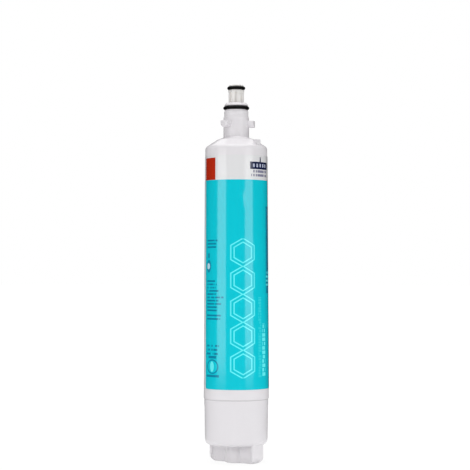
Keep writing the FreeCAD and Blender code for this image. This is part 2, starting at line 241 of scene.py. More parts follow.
neck_upper = lower_ring_radius - ring_proud
neck_lower = neck_upper + waist_step
neck_land = neck_upper - land_step
groove_half = ring_section / 2 + groove_play
groove_low_z = lower_ring_z - groove_half
groove_high_z = lower_ring_z + groove_half
groove_floor = lower_ring_radius - ring_section - ring_clearance
neck_bore = lower_ring_radius - ring_section - groove_wall
neck_foot_z = neck_top_z - neck_length
crown_reach = neck_lower + crown_width
crown_z = neck_foot_z - crown_width * math.tan(math.radians(crown_angle))
barrel_top_radius = barrel_foot_radius - barrel_draft
shoulder_slope = math.tan(math.radians(shoulder_angle))
shoulder_z = crown_z - (barrel_top_radius - crown_reach) * shoulder_slope
under_slope = barrel_wall / math.cos(math.radians(shoulder_angle))
seam_floor = barrel_foot_radius - seam_groove_depth
seam_lip_z = seam_z + seam_groove_width
print(f"shoulder at {shoulder_z / MM:.1f} mm, neck foot at {neck_foot_z / MM:.1f} mm")

# %% [markdown]
# ### Round the profile
#
# The corners run from the inside of the foot out to the seam, up the outside to the lip of the neck, and
# down its bore to the underside of the shoulder. Each is a place where a fingertip would feel an edge,
# and most of the outer ones are rounded.

# %% Housing profile
def barrel_radius(z):
    """Radius of the drafted barrel at a height."""
    return barrel_foot_radius - barrel_draft * (z - seam_z) / (shoulder_z - seam_z)


def under_shoulder(radius):
    """Height of the shoulder's underside at a radius."""
    return shoulder_z + (barrel_top_radius - radius) * shoulder_slope - under_slope


housing = turned_wall("housing_moulding", [
    (barrel_foot_radius - barrel_wall, seam_z),
    (seam_floor, seam_z),
    (seam_floor, seam_lip_z),
    (barrel_radius(seam_lip_z) - seam_chamfer, seam_lip_z),
    (barrel_radius(seam_lip_z + seam_chamfer), seam_lip_z + seam_chamfer),
    (barrel_top_radius, shoulder_z, shoulder_radius),
    (crown_reach, crown_z, crown_radius),
    (neck_lower, neck_foot_z, neck_root_radius),
    (neck_lower, neck_foot_z + waist_height, edge_soft),
    (neck_upper, neck_foot_z + waist_height + waist_length, edge_soft),
    (neck_upper, groove_low_z - land_length, edge_soft / 2),
    (neck_land, groove_low_z - land_length),
    (neck_land, groove_low_z, edge_soft / 2),
    (groove_floor, groove_low_z),
    (groove_floor, groove_high_z),
    (neck_land, groove_high_z, edge_soft / 2),
    (neck_land, neck_top_z - lip_chamfer, edge_soft),
    (neck_land - lip_chamfer, neck_top_z, edge_soft),
    (neck_bore, neck_top_z),
    (neck_bore, under_shoulder(neck_bore)),
    (barrel_top_radius - barrel_wall, under_shoulder(barrel_top_radius - barrel_wall)),
])

# %% [markdown]
# ## Bayonet lugs
#
# Three lugs lock the cartridge into its socket with a quarter turn, and their ramped lower corners draw
# it in as it turns. Their outer face is part of a cylinder, so a cylinder is sliced by planes until only
# the lug is left. Slicing with bisect keeps the round face exact. The lug is modelled once and its sharp
# edges get a small bevel.

# %% One lug
lug_stand, lug_rise = 4.7 * MM, 10.6 * MM
lug_width, lug_crest = 7.4 * MM, 3.0 * MM
lug_depth, lug_nose = 5.2 * MM, 3.0 * MM
lug_soft, soft_steps, sharp_from = 0.3 * MM, 3, math.radians(15)
lug_reach = neck_lower + lug_stand
lug_z = neck_foot_z + lug_rise


def slice_off(point, normal):
    """Cut away what lies in front of a plane and close the cut."""
    bpy.ops.mesh.select_all(action="SELECT")
    bpy.ops.mesh.bisect(plane_co=point, plane_no=normal, use_fill=True, clear_outer=True)


clean_slate()
bpy.ops.mesh.primitive_cylinder_add(
    vertices=RING_STEPS, radius=lug_reach, depth=lug_depth, location=(0, 0, lug_z))
lug = bpy.context.object
lug.name = "bayonet_lug"
bpy.ops.object.transform_apply(location=True)
bpy.ops.object.mode_set(mode="EDIT")
lug_root = math.sqrt(neck_lower ** 2 - (lug_width / 2) ** 2) - lug_soft
slice_off((lug_root, 0, 0), (-1, 0, 0))
ramp = Vector((0, lug_depth - lug_nose, (lug_crest - lug_width) / 2)).normalized()
for side in (1, -1):
    slice_off((0, side * lug_width / 2, 0), (0, side, 0))
    slice_off((0, side * lug_crest / 2, lug_z - lug_depth / 2), (0, side * ramp.y, ramp.z))
bpy.ops.mesh.select_all(action="DESELECT")
bpy.ops.mesh.select_mode(type="EDGE")
bpy.ops.mesh.edges_select_sharp(sharpness=sharp_from)
bpy.ops.mesh.bevel(offset=lug_soft, segments=soft_steps, profile=0.5, affect="EDGES", clamp_overlap=True)
close_shell()
bpy.ops.object.mode_set(mode="OBJECT")
print(f"lug: {len(lug.data.polygons)} faces, reaches {lug_reach / MM:.1f} mm from the axis")

# %% [markdown]
# ### Three copies on the neck
#
# On the real moulding lugs and neck are one piece of plastic. Each copy is turned to its place and joined
# by a union, which leaves one closed skin with no walls hidden inside.

# %% Three lugs on the neck
lug_angles = (57, 177, 297)


def add_by_union(piece, added):
    """Weld a closed shape into a piece, and drop the loose copy."""
    apply_modifier(piece, "BOOLEAN", operation="UNION", solver="EXACT", object=added)
    bpy.data.objects.remove(added)


for turn in lug_angles:
    select_only(lug)
    bpy.ops.object.duplicate()
    copy = bpy.context.object
    copy.rotation_euler.z = math.radians(turn)
    bpy.ops.object.transform_apply(rotation=True)
    add_by_union(housing, copy)
bpy.data.objects.remove(lug)
print("lugs welded to the neck:", len(lug_angles))

# %% [markdown]
# ## Front tab
#
# A small tab stands on the shoulder on the side that faces front when the cartridge is locked. A cube
# stretched to size, with its upper edges bevelled, is all it needs. It is sunk into the slope so that the
# union leaves no gap under it.

# %% Tab on the shoulder
tab_inset, tab_height = 3.4 * MM, 3.3 * MM
tab_width, tab_depth = 5.0 * MM, 3.5 * MM
tab_soft, tab_sink = 0.5 * MM, barrel_wall / 4
tab_foot_z = shoulder_z + tab_inset * shoulder_slope
tab_root_z = tab_foot_z - tab_depth / 2 * shoulder_slope - tab_sink
tab_top_z = tab_foot_z + tab_height

clean_slate()
bpy.ops.mesh.primitive_cube_add(
    size=1, location=(0, tab_inset - barrel_top_radius, (tab_root_z + tab_top_z) / 2),
    scale=(tab_width, tab_depth, tab_top_z - tab_root_z))
tab = bpy.context.object
bpy.ops.object.transform_apply(location=True, scale=True)
bpy.ops.object.mode_set(mode="EDIT")
pick(tab, "edges", lambda p: p.z > tab_foot_z)
bpy.ops.mesh.bevel(offset=tab_soft, segments=soft_steps, affect="EDGES")
bpy.ops.object.mode_set(mode="OBJECT")
add_by_union(housing, tab)
finish_mesh(housing)

# %% [markdown]
# ## Seal rings
#
# A rubber ring comes out of a mould in two halves, which leaves a fine flash line round its outside, and
# in its groove it is stretched flat against the floor. A torus gives the round section. The flash is a
# narrow bevel of the outermost loop, pushed out by a hair, and the innermost corners are nudged outwards
# until the seat is flat.

# %% Rings with a flash line and a seat
section_steps = 36
flash_width, flash_rise = 0.16 * MM, 0.03 * MM
seat_flat, seat_nudge = 0.1 * MM, 1.004


def seal_ring(name, radius, z):
    clean_slate()
    section = ring_section / 2
    rubber_radius = radius - flash_rise
    bpy.ops.mesh.primitive_torus_add(
        major_segments=RING_STEPS, minor_segments=section_steps,
        major_radius=rubber_radius - section, minor_radius=section, location=(0, 0, z))
    ring = bpy.context.object
    ring.name = name
    bpy.ops.object.transform_apply(location=True)
    bpy.ops.object.mode_set(mode="EDIT")
    outermost = rubber_radius - HAIR
    pick(ring, "edges", lambda p: axis_distance(p) > outermost)
    bpy.ops.mesh.bevel(offset=flash_width / 2, segments=2, profile=0.5, affect="EDGES")
    pick(ring, "verts", lambda p: abs(p.z - z) < HAIR and axis_distance(p) > outermost - flash_rise)
    widen(1 + flash_rise / outermost, z)
    seat_radius = rubber_radius - 2 * section + seat_flat / 2
    while pick(ring, "verts", lambda p: axis_distance(p) < seat_radius):
        widen(seat_nudge, z)
    bpy.ops.object.mode_set(mode="OBJECT")
    finish_mesh(ring, sharp=60)
    return ring


upper_ring = seal_ring("upper_ring", upper_ring_radius, upper_ring_z)
lower_ring = seal_ring("lower_ring", lower_ring_radius, lower_ring_z)

# %% [markdown]
# ## The label film
#
# The label is one thin film, wrapped round the barrel until its two ends almost meet. It is made as a
# sleeve of many rows, so that it can follow the barrel's draft and carry fine dents. Later it is trimmed
# like a real label, and Solidify turns the sleeve into film.

# %% Film sleeve
film_thickness, film_lift = 0.16 * MM, 0.2 * MM
film_steps, film_rows = 240, 72


def film_radius(z):
    """Radius of the film's outside at a height."""
    return barrel_radius(z) + film_lift


clean_slate()
bpy.ops.mesh.primitive_circle_add(
    vertices=film_steps, radius=film_radius(label_low_z), location=(0, 0, label_low_z))
film = bpy.context.object
film.name = "label_film"
bpy.ops.object.transform_apply(location=True)
bpy.ops.object.mode_set(mode="EDIT")
bpy.ops.mesh.select_all(action="SELECT")
row = (label_high_z - label_low_z) / film_rows
for step in range(film_rows):
    z = label_low_z + row * (step + 1)
    extrude_ring(row, film_radius(z) / film_radius(z - row), z)
close_shell()
print(f"film sleeve: {film_rows} rows from {label_low_z / MM:.1f} to {label_high_z / MM:.1f} mm")

# %% [markdown]
# ### Trapped air
#
# A little air under the film shows as a swelling in the highlight. Proportional editing raises a few
# corners and lets the rise fade out softly round them, as a finger would push it.

# %% Blister
blister_angle, blister_half_angle = -39, 1
blister_z, blister_half_height = 208 * MM, 2.5 * MM
blister_rise, blister_spread = 0.5 * MM, 4.2 * MM


def round_angle(p):
    """Degrees round the axis from the front, positive to the right."""
    return math.degrees(math.atan2(p.x, -p.y))


def in_blister(p):
    aside = abs(round_angle(p) - blister_angle)
    return aside < blister_half_angle and abs(p.z - blister_z) < blister_half_height


raised = pick(film, "verts", in_blister)
outwards = Matrix.Rotation(math.radians(blister_angle), 3, "Z") @ Vector((0, -blister_rise, 0))
bpy.ops.transform.translate(
    value=outwards, use_proportional_edit=True, proportional_edit_falloff="SMOOTH",
    proportional_size=blister_spread)
print(f"blister: {raised} corners raised {blister_rise / MM:.2f} mm")

# %% [markdown]
# ### Trimming the film
#
# A label is cut straight from a sheet, so its ends keep their distance from the front line while the
# barrel gets narrower, and the bare strip between them narrows upwards. Its corners are rounded, because
# a square corner would lift and peel. The film is trimmed here as with scissors: bisect makes one long
# cut at each end, and then a few short ones round each corner.

# %% Where the film ends
left_end, open_foot = 53.2 * MM, 13.2 * MM
film_width = 2 * math.pi * barrel_radius(label_low_z) - open_foot


def from_axis(degrees, distance, z):
    """A point at an angle round the axis from the front."""
    a = math.radians(degrees)
    return Vector((math.sin(a) * distance, -math.cos(a) * distance, z))


def end_points(distance, whole_turns):
    """The film's lower and upper corner this far round it from the front line."""
    return [from_axis(math.degrees(distance / barrel_radius(z)) + 360 * whole_turns, film_radius(z), z)
            for z in (label_low_z, label_high_z)]


left_points = end_points(-left_end, 0)
right_points = end_points(film_width - left_end, -1)
open_angle = sum(round_angle(p) for p in left_points + right_points) / 4
print(f"film {film_width / MM:.1f} mm long, open at {open_angle:.0f} degrees")

# %% Ends and corners of the film
corner_radius, corner_cuts = 2.0 * MM, 5
corner_search = 4 * corner_radius
end_search, on_the_middle = 40, 0.01


def trim(point, normal, test, cut_away=True):
    """Cut the film's faces that pass a test along a plane, and drop what lies in front of it."""
    pick(film, "faces", test)
    bpy.ops.mesh.bisect(plane_co=point, plane_no=normal, clear_outer=cut_away)


def from_open(p):
    """Degrees from the middle of the bare strip, positive to the right."""
    return round_angle(p) - open_angle


across = from_axis(open_angle + 90, 1, 0)
trim((0, 0, 0), across, lambda p: abs(from_open(p)) < end_search, cut_away=False)
for (foot, top), side in ((left_points, 1), (right_points, -1)):
    into_gap = (top - foot).cross(from_axis(round_angle((foot + top) / 2), 1, 0)).normalized()
    if into_gap.dot(across) * side > 0:
        into_gap.negate()
    trim(foot, into_gap, lambda p: -on_the_middle < from_open(p) * side < end_search)
    for corner, up in ((foot, -1), (top, 1)):
        middle = corner - corner_radius * (into_gap + Vector((0, 0, up)))
        for cut in range(1, corner_cuts + 1):
            turn = math.radians(90 * cut / (corner_cuts + 1))
            outward = into_gap * math.cos(turn) + Vector((0, 0, up * math.sin(turn)))
            trim(middle + outward * corner_radius, outward,
                 lambda p: (p - corner).length < corner_search and from_open(p) * side > 0)
bpy.ops.object.mode_set(mode="OBJECT")
apply_modifier(film, "SOLIDIFY", thickness=film_thickness, offset=-1)
finish_mesh(film)

# %% [markdown]
# ## Shared finish: moulded skin
#
# Moulded plastic and rubber are never perfectly even. A fine grain copied from the mould breaks up the
# highlights, and long soft waves are left where the material shrank as it cooled. Several finishes need
# this, so it is one node group that puts out a height for a Bump node, and each material gives it its own
# values.

# %% Moulded skin group
def new_group(name, inputs, outputs):
    """A node group with number inputs and their defaults, and number outputs."""
    group = bpy.data.node_groups.new(name, "ShaderNodeTree")
    for socket, value in inputs.items():
        made = group.interface.new_socket(socket, in_out="INPUT", socket_type="NodeSocketFloat")
        made.default_value = value
    for socket in outputs:
        group.interface.new_socket(socket, in_out="OUTPUT", socket_type="NodeSocketFloat")
    return group, group.nodes.new("NodeGroupInput").outputs, group.nodes.new("NodeGroupOutput").inputs


def math_node(tree, operation, *values):
    """A Math node whose inputs are numbers or sockets. Its output is returned."""
    node = tree.nodes.new("ShaderNodeMath")
    node.operation = operation
    for socket, value in zip(node.inputs, values):
        if isinstance(value, (int, float)):
            socket.default_value = value
        else:
            tree.links.new(value, socket)
    return node.outputs[0]


skin, skin_in, skin_out = new_group(
    "moulded_skin", {"Grain per mm": 3.0, "Grain": 0.3, "Wave per mm": 0.05, "Wave": 1.0}, ["Height"])
skin_place = skin.nodes.new("ShaderNodeTexCoord")


def skin_height(strength, detail):
    """Noise of a spacing and a strength that the group is given."""
    noise = skin.nodes.new("ShaderNodeTexNoise")
    noise.inputs["Detail"].default_value = detail
    skin.links.new(skin_place.outputs["Object"], noise.inputs["Vector"])
    per_metre = math_node(skin, "MULTIPLY", skin_in[strength + " per mm"], 1 / MM)
    skin.links.new(per_metre, noise.inputs["Scale"])
    return math_node(skin, "MULTIPLY", noise.outputs["Fac"], skin_in[strength])


both = math_node(skin, "ADD", skin_height("Grain", detail=2), skin_height("Wave", detail=0))
skin.links.new(both, skin_out["Height"])
print("node group:", skin.name)

# %% [markdown]
# ## Plastics and rubber
#
# Each material sets its even numbers, such as gloss, on the shader itself. Only what varies over the
# surface comes through nodes. The plastics and the rubber place the moulded skin with different grain and
# depth. The natural plastic of the spigot has no pigment, so light goes a little way into it.

# %% Moulded finishes
def new_finish(name, colour, roughness, **sockets):
    """A material with one Principled shader and even values."""
    finish = bpy.data.materials.new(name)
    finish.use_nodes = True
    shader = finish.node_tree.nodes["Principled BSDF"]
    shader.inputs["Base Color"].default_value = (*colour, 1)
    shader.inputs["Roughness"].default_value = roughness
    for socket, value in sockets.items():
        shader.inputs[socket.replace("_", " ")].default_value = value
    return finish, finish.node_tree, shader


def bump(tree, shader, height, depth):
    """Raise a surface by a height that varies, by a depth in metres for a height of one."""
    node = tree.nodes.new("ShaderNodeBump")
    node.inputs["Distance"].default_value = depth
    tree.links.new(height, node.inputs["Height"])
    tree.links.new(node.outputs["Normal"], shader.inputs["Normal"])


def moulded(name, colour, roughness, skin_depth, skin_values, **sockets):
    """A finish with the moulded skin on it."""
    finish, tree, shader = new_finish(name, colour, roughness, **sockets)
    skin_node = tree.nodes.new("ShaderNodeGroup")
    skin_node.node_tree = skin
    for socket, value in skin_values.items():
        skin_node.inputs[socket].default_value = value
    bump(tree, shader, skin_node.outputs["Height"], skin_depth)
    return finish


white_plastic = moulded(
    "white_plastic", (0.79, 0.768, 0.793), roughness=0.24, skin_depth=0.02 * MM,
    skin_values={"Grain": 0.25, "Wave": 1.0})
natural_plastic = moulded(
    "natural_plastic", (0.89, 0.86, 0.83), roughness=0.42, skin_depth=0.02 * MM,
    skin_values={"Grain": 0.3, "Wave": 1.0},
    Subsurface_Weight=0.5, Subsurface_Radius=(1.0, 0.95, 0.9), Subsurface_Scale=9.0 * MM)
seal_rubber = moulded(
    "seal_rubber", (0.003, 0.003, 0.003), roughness=0.5, skin_depth=0.01 * MM,
    skin_values={"Grain": 0.5, "Grain per mm": 6.0}, Specular_IOR_Level=0.2)
print("moulded finishes:", white_plastic.name, natural_plastic.name, seal_rubber.name)

# %% [markdown]
# ## Carbon, fleece and tag
#
# These pieces lie inside, but a part that is taken apart shows them. Pressed carbon is made of granules,
# so a cell pattern roughens it. Fleece is a tangle of fibres, which a distorted noise gives. The tag is
# plain film.

# %% Finishes of the inner pieces
def pattern(tree, kind, per_mm, **sockets):
    """A texture that keeps to the object's own coordinates."""
    texture = tree.nodes.new(kind)
    texture.inputs["Scale"].default_value = per_mm / MM
    for socket, value in sockets.items():
        texture.inputs[socket].default_value = value
    place = tree.nodes.new("ShaderNodeTexCoord")
    tree.links.new(place.outputs["Object"], texture.inputs["Vector"])
    return texture


carbon, carbon_tree, carbon_shader = new_finish("pressed_carbon", (0.02, 0.02, 0.021), roughness=0.85)
granules = pattern(carbon_tree, "ShaderNodeTexVoronoi", per_mm=1.4)
bump(carbon_tree, carbon_shader, granules.outputs["Distance"], depth=0.3 * MM)

fleece, fleece_tree, fleece_shader = new_finish("fleece", (0.85, 0.85, 0.84), roughness=0.95)
fibres = pattern(fleece_tree, "ShaderNodeTexNoise", per_mm=1.2, Detail=6, Distortion=2)
bump(fleece_tree, fleece_shader, fibres.outputs["Fac"], depth=0.4 * MM)

tag_film, _, _ = new_finish("tag_film", (0.72, 0.71, 0.66), roughness=0.3)
print("inner finishes:", carbon.name, fleece.name, tag_film.name)

# %% [markdown]
# ## Where the ink goes
#
# The print has to follow the film round the barrel, so every mark is placed in two numbers: millimetres
# round the film from the front, and millimetres up the axis. A group works them out once from the
# object's own coordinates.

# %% Print position group
print_radius = film_radius((label_low_z + label_high_z) / 2) / MM

position, _, position_out = new_group("print_position", {}, ["Around", "Up"])
position_place = position.nodes.new("ShaderNodeTexCoord")
axes = position.nodes.new("ShaderNodeSeparateXYZ")
position.links.new(position_place.outputs["Object"], axes.inputs[0])
to_front = math_node(position, "MULTIPLY", axes.outputs["Y"], -1)
angle = math_node(position, "ARCTAN2", axes.outputs["X"], to_front)
position.links.new(math_node(position, "MULTIPLY", angle, print_radius), position_out["Around"])
position.links.new(math_node(position, "DIVIDE", axes.outputs["Z"], MM), position_out["Up"])
print(f"node group: {position.name}, at a radius of {print_radius:.1f} mm")

# %% [markdown]
# ## Plain marks
#
# Two groups turn a centre and a size into the mask of a plain block or a plain oval of ink. A mask is one
# where there is ink and zero elsewhere.

# %% Block and oval groups
def within(tree, value, middle, size):
    """One where a value lies within half a size of a middle, else zero."""
    return math_node(tree, "COMPARE", value, middle, math_node(tree, "MULTIPLY", size, 0.5))


mark_sockets = {"Around": 0, "Up": 0, "Centre": 0, "Middle": 0, "Width": 10, "Height": 10}
block, asked, block_out = new_group("ink_block", mark_sockets, ["Mask"])
in_width = within(block, asked["Around"], asked["Centre"], asked["Width"])
in_height = within(block, asked["Up"], asked["Middle"], asked["Height"])
block.links.new(math_node(block, "MULTIPLY", in_width, in_height), block_out["Mask"])

oval, asked, oval_out = new_group("ink_oval", mark_sockets, ["Mask"])
square_sum = 0
for value, middle, size in (("Around", "Centre", "Width"), ("Up", "Middle", "Height")):
    off = math_node(oval, "SUBTRACT", asked[value], asked[middle])
    share = math_node(oval, "DIVIDE", off, math_node(oval, "MULTIPLY", asked[size], 0.5))
    square_sum = math_node(oval, "ADD", math_node(oval, "MULTIPLY", share, share), square_sum)
oval.links.new(math_node(oval, "LESS_THAN", square_sum, 1), oval_out["Mask"])
print("node groups:", block.name, oval.name)

# %% [markdown]
# ## Small print
#
# From a step away small print is only rows of dark dashes. This group cuts a block into rows, cuts each
# row into cells, and lets a random number per cell decide whether it is inked.

# %% Small print group
rows, asked, rows_out = new_group(
    "small_print", {"Around": 0, "Up": 0, "Left": 0, "Right": 10, "Low": 0, "High": 10, "Pitch": 2.6,
                    "Letter": 0.8, "Fill": 0.85, "Ragged": 0.4, "Tall": 0.5}, ["Mask"])


def dice(*numbers):
    """A random number for one or two whole numbers."""
    together = rows.nodes.new("ShaderNodeCombineXYZ")
    for socket, number in zip(together.inputs, numbers):
        rows.links.new(number, socket)
    noise = rows.nodes.new("ShaderNodeTexWhiteNoise")
    rows.links.new(together.outputs[0], noise.inputs["Vector"])
    return noise.outputs["Value"]


climb = math_node(rows, "SUBTRACT", asked["Up"], asked["Low"])
line = math_node(rows, "DIVIDE", climb, asked["Pitch"])
line_number = math_node(rows, "FLOOR", line)
cell = math_node(rows, "FLOOR", math_node(rows, "DIVIDE", asked["Around"], asked["Letter"]))
short = math_node(rows, "MULTIPLY", dice(line_number), asked["Ragged"])
width = math_node(rows, "SUBTRACT", asked["Right"], asked["Left"])
line_end = math_node(rows, "SUBTRACT", asked["Right"], math_node(rows, "MULTIPLY", width, short))
mask = math_node(rows, "LESS_THAN", dice(cell, line_number), asked["Fill"])
for low, high in (
        (math_node(rows, "FRACT", line), asked["Tall"]),
        (asked["Left"], asked["Around"]), (asked["Around"], line_end),
        (asked["Low"], asked["Up"]), (asked["Up"], asked["High"])):
    mask = math_node(rows, "MULTIPLY", mask, math_node(rows, "LESS_THAN", low, high))
rows.links.new(mask, rows_out["Mask"])
print("node group:", rows.name)

# %% [markdown]
# ## A column of hexagon rings
#
# A pale column of hexagon rings, the plain sign of carbon, runs up the middle of the label. The distance
# to a hexagon's sides is the largest of three straight distances, and a thin band of that distance is an
# outline. Wrapping the height at a pitch repeats it up the film.

# %% Hexagon group
COS_30, SIN_30 = 0.866, 0.5

comb, asked, comb_out = new_group(
    "hexagon_rings", {"Around": 0, "Up": 0, "Centre": 0, "Low": 0, "High": 10, "Pitch": 20, "Size": 10,
                      "Stroke": 0.7}, ["Mask"])
aside = math_node(comb, "ABSOLUTE", math_node(comb, "SUBTRACT", asked["Around"], asked["Centre"]))
climb = math_node(comb, "SUBTRACT", asked["Up"], asked["Low"])
wrapped = math_node(comb, "FLOORED_MODULO", climb, asked["Pitch"])
half_pitch = math_node(comb, "MULTIPLY", asked["Pitch"], 0.5)
height = math_node(comb, "ABSOLUTE", math_node(comb, "SUBTRACT", wrapped, half_pitch))
slant = math_node(comb, "ADD", math_node(comb, "MULTIPLY", aside, SIN_30),
                  math_node(comb, "MULTIPLY", height, COS_30))
outline = within(comb, math_node(comb, "MAXIMUM", aside, slant), asked["Size"], asked["Stroke"])
above = math_node(comb, "GREATER_THAN", asked["Up"], asked["Low"])
below = math_node(comb, "LESS_THAN", asked["Up"], asked["High"])
mask = math_node(comb, "MULTIPLY", outline, math_node(comb, "MULTIPLY", above, below))
comb.links.new(mask, comb_out["Mask"])
print("node group:", comb.name)

# %% [markdown]
# ## Printing the label
#
# Ink goes on in layers, as in a press: first the broad fields, then what is printed over them. Every mark
# lies in a box of four numbers: its left and right side in degrees round the axis from the front, and its
# lower and upper edge in millimetres. A clear coat stands for the laminate over the ink.

# %% Film finish and inks
teal = (0.001, 0.61, 0.725)
deep_teal = (0.002, 0.24, 0.39)
sea_blue = (0.006, 0.30, 0.46)
navy = (0.003, 0.010, 0.06)
signal_red = (0.50, 0.023, 0.004)
small_grey = (0.25, 0.25, 0.35)
band_white = (0.80, 0.80, 0.81)
pale_blue = (0.52, 0.56, 0.70)
drop_blue = (0.55, 0.85, 0.95)
pale_cyan = (0.14, 0.93, 0.98)
faint_cyan = (0.03, 0.70, 0.78)

label_film, ink_tree, film_shader = new_finish(
    "label_film", teal, roughness=0.13, Coat_Weight=1.0, Coat_Roughness=0.13, Coat_IOR=1.5)
print_at = ink_tree.nodes.new("ShaderNodeGroup")
print_at.node_tree = position
ink_layers = []


def arc(degrees):
    """Millimetres round the film for an angle from the front."""
    return math.radians(degrees) * print_radius


def lay(group, colour, **values):
    """Print one colour where a group's mask is one, over what is there already."""
    node = ink_tree.nodes.new("ShaderNodeGroup")
    node.node_tree = group
    for name in ("Around", "Up"):
        ink_tree.links.new(print_at.outputs[name], node.inputs[name])
    for name, value in values.items():
        node.inputs[name].default_value = value
    ink_layers.append((node.outputs["Mask"], colour))


def lay_block(colour, left, right, low, high, shape=block):
    """A block or an oval of ink in a box."""
    lay(shape, colour, Centre=arc((left + right) / 2), Width=arc(right - left),
        Middle=(low + high) / 2, Height=high - low)


def lay_rows(colour, left, right, low, high, **style):
    """Rows of small print in a box."""
    lay(rows, colour, Left=arc(left), Right=arc(right), Low=low, High=high, **style)


print("film finish:", label_film.name)

# %% [markdown]
# ### The band at the top
#
# The top of the label is a white band with a red field at its left end. A navy block with a line above it
# lies at the front, under the tab, where the cartridge is lined up with its socket. Plain light bars
# break it up, and two rows of grey dashes lie under it.

# %% White band, red field and the block at the front
film_top, band_low = label_high_z / MM, 222.5
past_edge, red_margin = 1, 1.8
white_band = (-181, 181, band_low, film_top + past_edge)
red_field = (-126, -91, band_low, film_top - red_margin)
front_block = (-24, 24, 230.8, 236.6)
front_line = (-2.1, 0.7, 236.6, 240.4)
bar_pitch, bar_left, bar_right, bar_low, bar_high = 7.8, -2.7, 1.2, 232.4, 235.1
upper_caption = (-19.5, 20, 228.1, 230.1)
lower_caption = (-22, 20, 225.1, 227.0)
caption_style = {"Pitch": 4, "Letter": 0.6, "Fill": 0.7, "Ragged": 0}

lay_block(band_white, *white_band)
lay_block(signal_red, *red_field)
lay_block(navy, *front_block)
lay_block(navy, *front_line)
for bar in (-2, -1, 0, 1, 2):
    lay_block(pale_blue, bar_pitch * bar + bar_left, bar_pitch * bar + bar_right, bar_low, bar_high)
lay_rows(small_grey, *upper_caption, **caption_style)
lay_rows(small_grey, *lower_caption, **caption_style)
print("ink layers:", len(ink_layers))

# %% [markdown]
# ### The side panel
#
# A darker panel lies to the right, where the camera sees only its edge as a dark line up the barrel's
# side. A few pale rows of dashes lie on it.

# %% Side panel
side_panel = (16.5, 100, 133.5, 202)
panel_rows = (17.5, 60, 139.5, 152.3)

lay_block(sea_blue, *side_panel)
lay_rows(pale_cyan, *panel_rows, Pitch=3.2, Letter=1.2)
print("ink layers:", len(ink_layers))

# %% [markdown]
# ### The left side
#
# The left side carries small print in deep teal, a drop with a light middle, and a round badge. The badge
# is three ovals, one inside the other, and each is laid over the last.

# %% Small print and marks on the left
heading_rows = (-113, -84, 169.1, 176)
drop_stem = (-111, -105, 161.3, 165.0)
drop_oval = (-115, -101, 149.8, 159.8)
drop_light = (-113.5, -104.5, 152.4, 157.2)
middle_rows = (-113, -73, 119.6, 144.4)
closing_rows = (-113, -76, 112.9, 117.3)
badge_rows = (-113, -80, 85.6, 93.4)
badge_bar = (-107.5, -87.5, 82.7, 84.7)
badge_ring = (-111.5, -82.5, 70.6, 82.0)
badge_inside = (-109, -85, 71.6, 81.0)
badge_light = (-102.3, -92.8, 72.3, 80.4)
badge_foot = (-113, -81.5, 68.1, 69.9)

lay_rows(deep_teal, *heading_rows, Pitch=2.6, Ragged=0.25)
lay_block(sea_blue, *drop_stem)
lay_block(sea_blue, *drop_oval, oval)
lay_block(drop_blue, *drop_light, oval)
lay_rows(deep_teal, *middle_rows, Pitch=2.54, Ragged=0.55)
lay_rows(deep_teal, *closing_rows, Pitch=2.7, Ragged=0.1)
lay_rows(deep_teal, *badge_rows, Pitch=3.1, Fill=0.6, Ragged=0.2)
lay_block(deep_teal, *badge_bar)
lay_block(deep_teal, *badge_ring, oval)
lay_block(teal, *badge_inside, oval)
lay_block(pale_cyan, *badge_light, oval)
lay_block(deep_teal, *badge_foot)
print("ink layers:", len(ink_layers))

# %% [markdown]
# ### The middle
#
# The hexagons have a double outline, so their column is laid twice, in two sizes. Beside it stand two
# columns of dashes, one faint and one pale. Their cells are wider and taller than those of the small
# print.

# %% Hexagon column and upright print
comb_angle, comb_low, comb_pitch, comb_count, comb_stroke = -38, 67.7, 21.72, 5, 1.0
outer_size, inner_size = 9.6, 7.0
faint_column = (-7.5, -0.2, 68.1, 130.7)
pale_column = (2.2, 12, 69, 110)

for size in (outer_size, inner_size):
    lay(comb, pale_cyan, Centre=arc(comb_angle), Low=comb_low, High=comb_low + comb_count * comb_pitch,
        Pitch=comb_pitch, Size=size, Stroke=comb_stroke)
lay_rows(faint_cyan, *faint_column, Pitch=2.2, Letter=1.2, Fill=0.8, Ragged=0, Tall=0.8)
lay_rows(pale_cyan, *pale_column, Pitch=3.4, Letter=1.6, Fill=0.85, Ragged=0, Tall=0.8)
print("ink layers:", len(ink_layers))

# %% [markdown]
# ### Layer over layer
#
# Each layer mixes its colour over the layers below wherever its mask is one. The lowest lies on the teal
# that the whole film is printed with.

# %% Ink on the film
ink = None
for mask, colour in ink_layers:
    mix = ink_tree.nodes.new("ShaderNodeMix")
    mix.data_type = "RGBA"
    mix.inputs["A"].default_value = (*teal, 1)
    if ink is not None:
        ink_tree.links.new(ink, mix.inputs["A"])
    mix.inputs["B"].default_value = (*colour, 1)
    ink_tree.links.new(mask, mix.inputs["Factor"])
    ink = mix.outputs["Result"]
ink_tree.links.new(ink, film_shader.inputs["Base Color"])
print("label printed in", len(ink_layers), "layers")

# %% [markdown]
# ## Dressing the solids
#
# Each new piece takes its finish, rides on the one body of this part and stands for the solid it
# replaces. The other solids keep their own shape and get a finish of the same kind.

